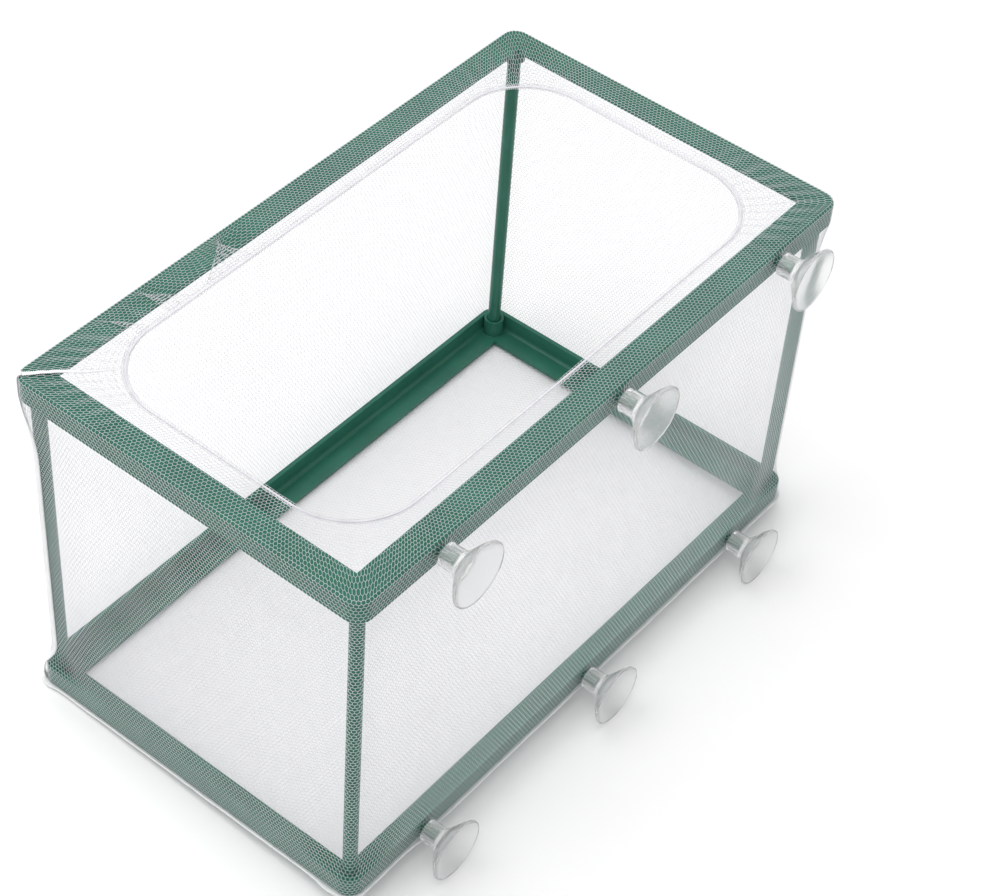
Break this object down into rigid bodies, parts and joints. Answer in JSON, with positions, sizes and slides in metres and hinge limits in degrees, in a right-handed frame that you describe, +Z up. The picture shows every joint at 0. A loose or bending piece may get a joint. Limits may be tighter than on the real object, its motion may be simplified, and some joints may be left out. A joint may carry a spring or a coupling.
{
  "type": "fish breeding box",
  "caption": "Rectangular netting box on a green plastic frame, open at the top inside an elastic hem, held to tank glass by clear suction cups.",
  "frame": {"origin": "centre of the underside of the netting floor", "axes": "+X along the length, +Y across the width away from the suction cups, +Z up"},
  "size_m": [0.2642, 0.1676, 0.1692],
  "materials": {
    "green_plastic": "smooth injection-moulded, softly glossy",
    "netting": "fine white hexagonal mesh",
    "elastic": "thin white elastic cord",
    "clear_pvc": "clear soft PVC, glossy"
  },
  "bodies": {
    "box": {"top_frame": "green_plastic", "bottom_frame": "green_plastic", "post_glass_left": "green_plastic", "post_glass_right": "green_plastic", "post_tank_left": "green_plastic", "post_tank_right": "green_plastic", "net_glass_side": "netting", "net_tank_side": "netting", "net_left_end": "netting", "net_right_end": "netting", "net_floor": "netting", "net_top_fold": "netting", "net_corner_seam": "netting", "hem_elastic": "elastic"},
    "cup_top_left": {"cup_top_left": "clear_pvc"},
    "cup_top_middle": {"cup_top_middle": "clear_pvc"},
    "cup_top_right": {"cup_top_right": "clear_pvc"},
    "cup_bottom_left": {"cup_bottom_left": "clear_pvc"},
    "cup_bottom_middle": {"cup_bottom_middle": "clear_pvc"},
    "cup_bottom_right": {"cup_bottom_right": "clear_pvc"}
  },
  "joints": [
    {"name": "cup_top_left_pull", "type": "slide", "parent": "box", "child": "cup_top_left", "axis": [0, -1, 0], "range_m": [0, 0.008]},
    {"name": "cup_top_middle_pull", "type": "slide", "parent": "box", "child": "cup_top_middle", "axis": [0, -1, 0], "range_m": [0, 0.008]},
    {"name": "cup_top_right_pull", "type": "slide", "parent": "box", "child": "cup_top_right", "axis": [0, -1, 0], "range_m": [0, 0.008]},
    {"name": "cup_bottom_left_pull", "type": "slide", "parent": "box", "child": "cup_bottom_left", "axis": [0, -1, 0], "range_m": [0, 0.008]},
    {"name": "cup_bottom_middle_pull", "type": "slide", "parent": "box", "child": "cup_bottom_middle", "axis": [0, -1, 0], "range_m": [0, 0.008]},
    {"name": "cup_bottom_right_pull", "type": "slide", "parent": "box", "child": "cup_bottom_right", "axis": [0, -1, 0], "range_m": [0, 0.008]}
  ]
}
